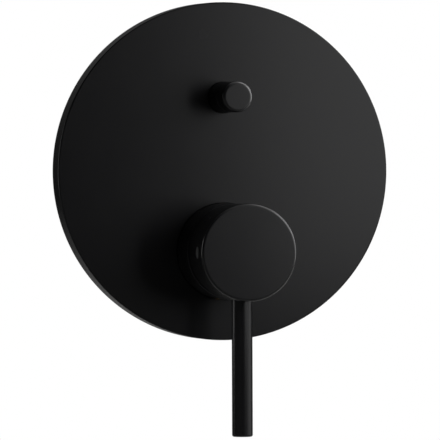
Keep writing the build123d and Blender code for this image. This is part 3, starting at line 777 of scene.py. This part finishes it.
class MIXER_OT_valve_body(bpy.types.Operator):
    """Brass body: a soft-edged casting with a parting line, cut by its bores and machined faces"""

    bl_idname = "mixer.valve_body"
    bl_label = "Valve body"

    def execute(self, context):
        sizes = context.scene.mixer_body
        handle_z = extent("handle_sleeve")[1] / MM
        diverter_z = extent("diverter_collar")[1] / MM
        cut = finish(cut_brass)

        foot_width, foot_height, foot_depth, lug_d = 24, 55, 37, 15
        bars = casting_bars(handle_z, diverter_z)
        blocks = [(foot_width, foot_height, foot_depth, 0)]
        for z in (-LUG_Z, LUG_Z):
            blocks.append((2 * LUG_X, lug_d, LUG_DEPTH, z))
            bars += [(lug_d, (x, -SPARE, z), (x, LUG_DEPTH, z)) for x in (-LUG_X, LUG_X)]
        mesh = bmesh.new()
        for diameter, start, end in bars:
            along = at(*end) - at(*start)
            add_turned(mesh, bar_corners(diameter * MM, along.length), at(*start), along, SMALL_STEPS)
        for width, tall, front, z in blocks:
            size = Matrix.Diagonal((width * MM, (front + SPARE) * MM, tall * MM, 1))
            middle = Matrix.Translation(at(0, (front - SPARE) / 2, z))
            bmesh.ops.create_cube(mesh, size=1, matrix=middle @ size)
        casting = finished("valve_body_finished", mesh)
        remesh = casting.modifiers.new("soft form", "REMESH")
        remesh.mode = "VOXEL"
        remesh.voxel_size = sizes.voxel
        soften = casting.modifiers.new("fillets", "SMOOTH")
        soften.factor = 0.5  # a pass draws each point half way to its neighbours
        soften.iterations = sizes.passes
        keep_result(casting)
        parting = at(0, PORT, 0).y
        half_line = 0.55 * sizes.voxel  # one row of points
        sideways = 0.6  # faces that look more to the front or back than this have no line
        for vertex in casting.data.vertices:
            if abs(vertex.co.y - parting) < half_line and abs(vertex.normal.y) < sideways:
                vertex.co += vertex.normal * sizes.flash
        casting.data.materials.append(finish(cast_brass))

        trimmed = bmesh.new()
        low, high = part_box("valve_body")
        bmesh.ops.create_cube(trimmed, size=1, matrix=Matrix.Translation((low + high) / 2)
                              @ Matrix.Diagonal((*(high - low), 1)))
        block = finished("trimmed", trimmed)
        block.data.materials.append(cut)
        joined(casting, block, "INTERSECT")
        cutter_d, cutter_reach, cutter_z = 60 * MM, 5, diverter_z + 12
        face = bar("face", cutter_d, at(0, WALL, cutter_z), at(0, WALL + cutter_reach, cutter_z),
                   SMALL_STEPS)
        face.data.materials.append(cut)
        joined(casting, face, "DIFFERENCE")

        cup_r, groove_r, groove_back, groove_front = 21.2 * MM, 19.9 * MM, 69.9 * MM, 72.1 * MM
        cup_back, cup_front = 50 * MM, CUP * MM
        cup = lathe("cup", [(0, cup_back, 0), (cup_r, cup_back, 0), (cup_r, groove_back, 0),
                            (groove_r, groove_back, 0), (groove_r, groove_front, 0),
                            (cup_r, groove_front, 0), (cup_r, cup_front, 2 * BREAK), (0, cup_front, 0)],
                    at(0, 0, handle_z), FORWARD)
        cup.data.materials.append(finish(turned_brass_cartridge))
        joined(casting, cup, "UNION")
        for diameter, start, end in bore_bars(handle_z, diverter_z):
            hole = bar("bore", diameter * MM, at(*start), at(*end), SMALL_STEPS)
            hole.data.materials.append(cut)
            joined(casting, hole, "DIFFERENCE")
        ride(casting, "mixer_body", "cast_brass", "valve_body")
        return {"FINISHED"}


def new_tree(name, sizes):
    """Geometry tree with named inputs for its sizes, a geometry input and a material input."""
    tree = bpy.data.node_groups.new(name, "GeometryNodeTree")
    tree.interface.new_socket("Geometry", in_out="INPUT", socket_type="NodeSocketGeometry")
    for size in sizes:
        tree.interface.new_socket(size, in_out="INPUT", socket_type="NodeSocketFloat")
    tree.interface.new_socket("Material", in_out="INPUT", socket_type="NodeSocketMaterial")
    tree.interface.new_socket("Geometry", in_out="OUTPUT", socket_type="NodeSocketGeometry")
    return tree, add(tree, "NodeGroupInput").outputs


def grown(name, tree, base, values):
    """Plain mesh piece that a geometry tree makes from a base mesh."""
    piece = bpy.data.objects.new(name, base)
    modifier = piece.modifiers.new(tree.name, "NODES")
    modifier.node_group = tree
    for socket in tree.interface.items_tree:
        if socket.in_out == "INPUT" and socket.name in values:
            modifier[socket.identifier] = values[socket.name]
    bpy.context.scene.collection.objects.link(piece)
    keep_result(piece)
    return piece


def thread_tree():
    """Ridge that winds along a bore, once at every point of the base, in the point's own direction."""
    tree, given = new_tree("port thread", ("Pitch", "Depth", "Radius", "Length"))
    turns = add(tree, "ShaderNodeMath", {0: given["Length"], 1: given["Pitch"]}, operation="DIVIDE")
    path = add(tree, "GeometryNodeCurveSpiral",
               {"Resolution": HOLE_STEPS, "Rotations": turns.outputs[0], "Start Radius": given["Radius"],
                "End Radius": given["Radius"], "Height": given["Length"]})
    upright = add(tree, "GeometryNodeSetCurveNormal", {"Curve": path.outputs["Curve"]}, mode="Z_UP")
    foot_share, crest_share = 0.46, 0.08  # half widths of the ridge as shares of the pitch
    foot = add(tree, "ShaderNodeMath", {0: given["Pitch"], 1: foot_share}, operation="MULTIPLY")
    crest = add(tree, "ShaderNodeMath", {0: given["Pitch"], 1: crest_share}, operation="MULTIPLY")
    corners = []
    for half, sign, inwards in ((foot, 1, False), (crest, 1, True), (crest, -1, True), (foot, -1, False)):
        along = add(tree, "ShaderNodeMath", {0: half.outputs[0], 1: sign}, operation="MULTIPLY")
        point = add(tree, "ShaderNodeCombineXYZ", {"X": along.outputs[0]})
        if inwards:
            tree.links.new(given["Depth"], point.inputs["Y"])
        corners.append(point.outputs["Vector"])
    section = add(tree, "GeometryNodeCurvePrimitiveQuadrilateral", mode="POINTS")
    for name, corner in zip(("Point 1", "Point 2", "Point 3", "Point 4"), corners):
        tree.links.new(corner, section.inputs[name])
    ridge = add(tree, "GeometryNodeCurveToMesh",
                {"Curve": upright.outputs["Curve"], "Profile Curve": section.outputs["Curve"],
                 "Fill Caps": True})
    inward = add(tree, "GeometryNodeInputNamedAttribute", {"Name": "inward"}, data_type="FLOAT_VECTOR")
    turn = add(tree, "FunctionNodeAlignRotationToVector", {"Vector": inward.outputs["Attribute"]},
               axis="Z")
    copies = add(tree, "GeometryNodeInstanceOnPoints",
                 {"Points": given["Geometry"], "Instance": ridge.outputs["Mesh"],
                  "Rotation": turn.outputs["Rotation"]})
    real = add(tree, "GeometryNodeRealizeInstances", {"Geometry": copies.outputs["Instances"]})
    made = add(tree, "GeometryNodeSetMaterial",
               {"Geometry": real.outputs["Geometry"], "Material": given["Material"]})
    add(tree, "NodeGroupOutput", {"Geometry": made.outputs["Geometry"]})
    return tree


class MIXER_OT_port_threads(bpy.types.Operator):
    """Pipe threads in the mouths of the four ports"""

    bl_idname = "mixer.port_threads"
    bl_label = "Port threads"

    def execute(self, context):
        sizes = context.scene.mixer_body
        handle_z = extent("handle_sleeve")[1] / MM
        major_r = 10.45 * MM
        set_in = 1 * MM
        points = bpy.data.meshes.new("port_mouths")
        mouths = port_mouths(handle_z)
        inward = [Vector((x, -forward, z)) for _, (x, forward, z) in mouths]
        starts = [at(*mouth) + along * set_in for (mouth, _), along in zip(mouths, inward)]
        points.from_pydata(starts, [], [])
        attribute = points.attributes.new("inward", "FLOAT_VECTOR", "POINT")
        attribute.data.foreach_set("vector", [value for along in inward for value in along])
        threads = grown("port_threads", thread_tree(), points,
                        {"Pitch": sizes.thread_pitch, "Depth": sizes.thread_depth, "Radius": major_r,
                         "Length": sizes.thread_length, "Material": finish(cut_brass)})
        ride(threads, "mixer_body", "cast_brass")
        return {"FINISHED"}


def spring_tree():
    """Compression spring of round wire along the forward axis, with a closed turn at each end."""
    tree, given = new_tree("coil spring", ("Wire", "Turns", "Radius", "Length", "Back", "Height"))
    values = {socket.name: socket for socket in given if socket.name}
    values["factor"] = add(tree, "GeometryNodeSplineParameter").outputs["Factor"]
    wound = add(tree, "GeometryNodeInputPosition").outputs["Position"]
    split = add(tree, "ShaderNodeSeparateXYZ", {"Vector": wound}).outputs
    values["across"] = split["Y"]
    for name, operation, one, two in (
            ("all turns", "ADD", "Turns", 2.0),
            ("along", "MULTIPLY", "factor", "all turns"),
            ("first turn", "MINIMUM", "along", 1.0),
            ("open end", "ADD", "Turns", 1.0),
            ("past it", "SUBTRACT", "along", "open end"),
            ("last turn", "MAXIMUM", "past it", 0.0),
            ("closed", "ADD", "first turn", "last turn"),
            ("opened", "SUBTRACT", "along", "closed"),
            ("end wires", "MULTIPLY", "Wire", 3.0),
            ("room", "SUBTRACT", "Length", "end wires"),
            ("pitch", "DIVIDE", "room", "Turns"),
            ("closed rise", "MULTIPLY", "closed", "Wire"),
            ("open rise", "MULTIPLY", "opened", "pitch"),
            ("rise", "ADD", "closed rise", "open rise"),
            ("half wire", "MULTIPLY", "Wire", 0.5),
            ("start", "ADD", "Back", "half wire"),
            ("forward", "ADD", "rise", "start"),
            ("y", "MULTIPLY", "forward", -1.0),
            ("z", "ADD", "across", "Height")):
        terms = {0: values.get(one, one), 1: values.get(two, two)}
        values[name] = add(tree, "ShaderNodeMath", terms, operation=operation).outputs["Value"]
    path = add(tree, "GeometryNodeCurveSpiral",
               {"Resolution": HOLE_STEPS, "Rotations": values["all turns"],
                "Start Radius": given["Radius"], "End Radius": given["Radius"],
                "Height": given["Length"]})
    place = add(tree, "ShaderNodeCombineXYZ", {"X": split["X"], "Y": values["y"], "Z": values["z"]})
    coil = add(tree, "GeometryNodeSetPosition",
               {"Geometry": path.outputs["Curve"], "Position": place.outputs["Vector"]})
    section = add(tree, "GeometryNodeCurvePrimitiveCircle",
                  {"Resolution": WIRE_STEPS, "Radius": values["half wire"]})
    wire = add(tree, "GeometryNodeCurveToMesh",
               {"Curve": coil.outputs["Geometry"], "Profile Curve": section.outputs["Curve"],
                "Fill Caps": True})
    real = add(tree, "GeometryNodeRealizeInstances", {"Geometry": wire.outputs["Mesh"]})
    made = add(tree, "GeometryNodeSetMaterial",
               {"Geometry": real.outputs["Geometry"], "Material": given["Material"]})
    add(tree, "NodeGroupOutput", {"Geometry": made.outputs["Geometry"]})
    return tree


class MIXER_OT_return_spring(bpy.types.Operator):
    """Coil spring that draws the diverter knob back in"""

    bl_idname = "mixer.return_spring"
    bl_label = "Return spring"

    def execute(self, context):
        sizes = context.scene.mixer_body
        radius, height, back, front = extent("return_spring")
        base = bpy.data.meshes.new("return_spring_finished")
        spring = grown("return_spring_finished", spring_tree(), base,
                       {"Wire": sizes.wire, "Turns": sizes.turns, "Radius": radius - sizes.wire / 2,
                        "Length": front - back, "Back": back, "Height": extent("diverter_collar")[1],
                        "Material": finish(stainless_wire)})
        ride(spring, "mixer_body", "stainless", "return_spring")
        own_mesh(spring)
        return {"FINISHED"}


class MIXER_OT_seals(bpy.types.Operator):
    """Foam ring behind the plate, rubber rings round sleeve and collar, and the ring on the cup"""

    bl_idname = "mixer.seals"
    bl_label = "Seals"

    def execute(self, context):
        rubber = finish(epdm_rubber)
        outer, height, back, front = extent("wall_gasket")
        inner = outer - 5 * MM
        crush = 1.2 * MM  # rounding where the foam is squeezed between plate and wall
        gasket = lathe("wall_gasket_finished",
                       [(inner, back, crush), (outer, back, crush), (outer, front, BREAK),
                        (inner, front, BREAK)], Vector((0, 0, height)), FORWARD, 2 * TURNED_STEPS)
        stretch, ragged = 6 * MM, 0.25 * MM  # length and depth of the waves of the hand-cut foam
        for vertex in gasket.data.vertices:
            wander = noise.noise(vertex.co / stretch) - 0.5
            if -vertex.co.y > back + crush / 2:
                across = Vector((vertex.co.x, 0, vertex.co.z)).normalized()
                vertex.co += across * wander * ragged
        dress(gasket, "mixer_body", "foam", finish(pe_foam), "wall_gasket")

        lip, groove = 0.5 * MM, 0.9 * MM
        for seal, sleeve in (("sleeve_seal", "handle_sleeve"), ("collar_seal", "diverter_collar")):
            outer, height, back, front = extent(seal)
            inner = extent(sleeve)[0] + FIT
            middle, track = (back + front) / 2, (inner + outer) / 2
            ring = lathe(seal + "_finished",
                         [(inner, back, BREAK), (track - groove / 2, back, BREAK),
                          (track, back + groove / 2, BREAK), (track + groove / 2, back, BREAK),
                          (outer, back, BREAK), (outer, front, BREAK), (inner, front, BREAK),
                          (inner, middle + lip / 2, 0), (inner + lip / 2, middle, 0),
                          (inner, middle - lip / 2, 0)], Vector((0, 0, height)), FORWARD)
            dress(ring, "mixer_body", "rubber", rubber, seal)

        outer, height, back, front = extent("sleeve_o_ring")
        thick = (front - back) / 2
        sides = 16
        angles = [2 * pi * k / sides for k in range(sides)]
        middle, across = (back + front) / 2, outer - thick
        section = [(across + thick * cos(a), middle + thick * sin(a), 0) for a in angles]
        o_ring = lathe("sleeve_o_ring_finished", section, Vector((0, 0, height)), FORWARD)
        dress(o_ring, "mixer_body", "rubber", rubber, "sleeve_o_ring")
        return {"FINISHED"}


class MIXER_OT_inner_pieces(bpy.types.Operator):
    """Finishes of the cartridge, the diverter and the screws, which keep their solids"""

    bl_idname = "mixer.inner_pieces"
    bl_label = "Inner pieces"

    def execute(self, context):
        finishes = {
            powder_coat: ("diverter_spindle",),
            turned_brass_cartridge: ("cartridge_nut", "stem"),
            turned_brass_diverter: ("diverter_bonnet", "piston_disc", "piston_nut"),
            stainless_wire: ("pivot_pin", "handle_screw", "knob_screw", "spring_clip"),
            epdm_rubber: ("base_seals", "piston_washers", "spindle_seal"),
            acetal: ("cartridge_housing", "cartridge_base", "turn_guide", "disc_carrier"),
            alumina: ("fixed_disc", "moving_disc"),
            pressed_fibre: ("bonnet_washer",),
            abs_black: ("screw_plug",),
        }
        for maker, nodes in finishes.items():
            for node in nodes:
                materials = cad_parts[node].data.materials
                materials.clear()
                materials.append(finish(maker))
        return {"FINISHED"}


def paper_floor():
    """White paper: an even matt sheet that fades into the white behind it and keeps a soft shadow."""
    material, tree, place = new_material("floor_paper_white")
    seen = add(tree, "ShaderNodeLightPath").outputs
    across = add(tree, "ShaderNodeVectorMath", {"Vector": place}, operation="LENGTH")
    # distances are in metres from below the middle of the plate
    fade = add(tree, "ShaderNodeMapRange", {"Value": across.outputs["Value"], "From Min": 0.4,
                                            "From Max": 1.6, "To Min": 0.55, "To Max": 1.0})
    # gloss sees a little white of the sheet behind the mixer, and all of it far out in front on the left
    where = add(tree, "ShaderNodeSeparateXYZ", {"Vector": place}).outputs
    behind = add(tree, "ShaderNodeMapRange",
                 {"Value": where["Y"], "From Min": 0.1, "From Max": 1.2, "To Max": 0.04})
    ahead = add(tree, "ShaderNodeMapRange", {"Value": where["Y"], "From Min": 0.0, "From Max": -0.3})
    left = add(tree, "ShaderNodeMapRange", {"Value": where["X"], "From Min": -0.25, "From Max": -0.8})
    corner = add(tree, "ShaderNodeMath", {0: ahead.outputs["Result"], 1: left.outputs["Result"]},
                 operation="MULTIPLY")
    shown = add(tree, "ShaderNodeMath", {0: behind.outputs["Result"], 1: corner.outputs["Value"]},
                operation="MAXIMUM")
    mirrored = add(tree, "ShaderNodeMath", {0: seen["Is Glossy Ray"], 1: shown.outputs["Value"]},
                   operation="MULTIPLY")
    clear = add(tree, "ShaderNodeMath", {0: seen["Is Camera Ray"], 1: seen["Is Transmission Ray"]},
                operation="MAXIMUM")
    direct = add(tree, "ShaderNodeMath", {0: clear.outputs["Value"], 1: mirrored.outputs["Value"]},
                 operation="MAXIMUM")
    white = add(tree, "ShaderNodeMath", {0: direct.outputs["Value"], 1: fade.outputs["Result"]},
                operation="MULTIPLY")
    fibres = add(tree, "ShaderNodeTexNoise", {"Vector": place, "Scale": 1 / (3 * MM), "Detail": 2.0})
    sheet = add(tree, "ShaderNodeMix", {"Factor": fibres.outputs["Fac"], "A": opaque(linear("#d6d6d4")),
                                        "B": opaque(linear("#dbdbd9"))}, data_type="RGBA")
    paper = add(tree, "ShaderNodeBsdfDiffuse", {"Color": sheet.outputs["Result"]})
    glow = add(tree, "ShaderNodeEmission", {"Color": (1, 1, 1, 1), "Strength": 1.0})
    mixed = add(tree, "ShaderNodeMixShader", {0: white.outputs["Value"], 1: paper.outputs["BSDF"],
                                              2: glow.outputs["Emission"]})
    add(tree, "ShaderNodeOutputMaterial", {"Surface": mixed.outputs["Shader"]})
    return material


class MIXER_OT_stage(bpy.types.Operator):
    """Floor, soft lights and the camera at the front, a little to the left"""

    bl_idname = "mixer.stage"
    bl_label = "Stage"

    def execute(self, context):
        scene = context.scene
        stage = scene.mixer_stage
        scene.view_settings.view_transform = "Standard"

        front = extent("cover_plate")[3]
        aim = Vector((-stage.aim_left, -front, -stage.aim_down))
        back = Vector((-sin(stage.yaw) * cos(stage.pitch), -cos(stage.yaw) * cos(stage.pitch),
                       sin(stage.pitch)))
        camera = bpy.data.objects.new("camera", bpy.data.cameras.new("camera"))
        scene.collection.objects.link(camera)
        camera.location = aim + back * stage.distance
        level = (-back).to_track_quat("-Z", "Y").to_matrix()
        camera.rotation_euler = (level @ Matrix.Rotation(-stage.roll, 3, "Z")).to_euler()
        camera.data.sensor_width = 36.0
        camera.data.lens = camera.data.sensor_width * stage.distance / stage.view
        camera.data.clip_end = 100.0
        scene.camera = camera

        floor_z = cad_box[0].z - stage.floor_drop
        mesh = bmesh.new()
        bmesh.ops.create_circle(mesh, cap_ends=True, segments=SMALL_STEPS, radius=FLOOR_RADIUS,
                                matrix=Matrix.Translation((0, 0, floor_z)))
        floor = finished("floor", mesh)
        floor.data.materials.append(paper_floor())

        world = bpy.data.worlds.new("studio")
        scene.world = world
        world.use_nodes = True
        tree = world.node_tree
        tree.nodes.clear()
        seen = add(tree, "ShaderNodeLightPath").outputs
        direct = add(tree, "ShaderNodeMath", {0: seen["Is Camera Ray"], 1: seen["Is Transmission Ray"]},
                     operation="MAXIMUM")
        # gloss sees white behind and above the mixer, and the dark room in front of it
        white_way, falloff = (0, 0.5, 0.85), 6.0
        toward = add(tree, "ShaderNodeTexCoord").outputs["Generated"]
        rise = add(tree, "ShaderNodeVectorMath", {0: toward, 1: white_way}, operation="DOT_PRODUCT")
        above = add(tree, "ShaderNodeMath", {0: rise.outputs["Value"], 1: 0.0}, operation="MAXIMUM")
        glow = add(tree, "ShaderNodeMath", {0: above.outputs["Value"], 1: falloff}, operation="POWER")
        mirrored = add(tree, "ShaderNodeMath", {0: seen["Is Glossy Ray"], 1: glow.outputs["Value"]},
                       operation="MULTIPLY")
        white = add(tree, "ShaderNodeMath", {0: direct.outputs["Value"], 1: mirrored.outputs["Value"]},
                    operation="MAXIMUM")
        level = add(tree, "ShaderNodeMapRange",
                    {"Value": white.outputs["Value"], "To Min": stage.ambient, "To Max": 1.0})
        sky = add(tree, "ShaderNodeBackground",
                  {"Color": (1, 1, 1, 1), "Strength": level.outputs["Result"]})
        add(tree, "ShaderNodeOutputWorld", {"Surface": sky.outputs["Background"]})

        for name, (place, size, spread) in LAMPS.items():
            lamp = bpy.data.lights.new(name, "AREA")
            lamp.size = size
            lamp.spread = radians(spread)
            lamp.energy = getattr(stage, name)
            light = bpy.data.objects.new(name, lamp)
            light.location = place
            light.visible_camera = False
            beam = Vector((0, -front, 0)) - light.location
            light.rotation_euler = beam.to_track_quat("-Z", "Y").to_euler()
            scene.collection.objects.link(light)
        return {"FINISHED"}


class MIXER_PT_panel(bpy.types.Panel):
    """Sizes, colours and steps of the mixer"""

    bl_idname = "MIXER_PT_panel"
    bl_label = "Bath shower mixer"
    bl_space_type = "VIEW_3D"
    bl_region_type = "UI"
    bl_category = "Mixer"

    def draw(self, context):
        for group in (context.scene.mixer_trim, context.scene.mixer_body, context.scene.mixer_stage):
            column = self.layout.box().column()
            for name in group.__annotations__:
                column.prop(group, name)
        for operator in OPERATORS:
            self.layout.operator(operator.bl_idname)


GROUPS = {"mixer_trim": MixerTrim, "mixer_body": MixerBody, "mixer_stage": MixerStage}
OPERATORS = [MIXER_OT_cover_plate, MIXER_OT_handle, MIXER_OT_diverter, MIXER_OT_valve_body,
             MIXER_OT_port_threads, MIXER_OT_return_spring, MIXER_OT_seals, MIXER_OT_inner_pieces,
             MIXER_OT_stage]


def register():
    """Adds the classes and the scene's property groups."""
    for item in (*GROUPS.values(), *OPERATORS, MIXER_PT_panel):
        bpy.utils.register_class(item)
    for name, group in GROUPS.items():
        setattr(bpy.types.Scene, name, PointerProperty(type=group))


def unregister():
    """Takes them away again."""
    for name in GROUPS:
        delattr(bpy.types.Scene, name)
    for item in (MIXER_PT_panel, *reversed(OPERATORS), *reversed(GROUPS.values())):
        bpy.utils.unregister_class(item)


def main():
    """Registers the add-on and makes each piece in order."""
    register()
    bpy.ops.mixer.cover_plate()
    bpy.ops.mixer.handle()
    bpy.ops.mixer.diverter()
    bpy.ops.mixer.valve_body()
    bpy.ops.mixer.port_threads()
    bpy.ops.mixer.return_spring()
    bpy.ops.mixer.seals()
    bpy.ops.mixer.inner_pieces()
    bpy.ops.mixer.stage()


if __name__ == "__main__":
    main()
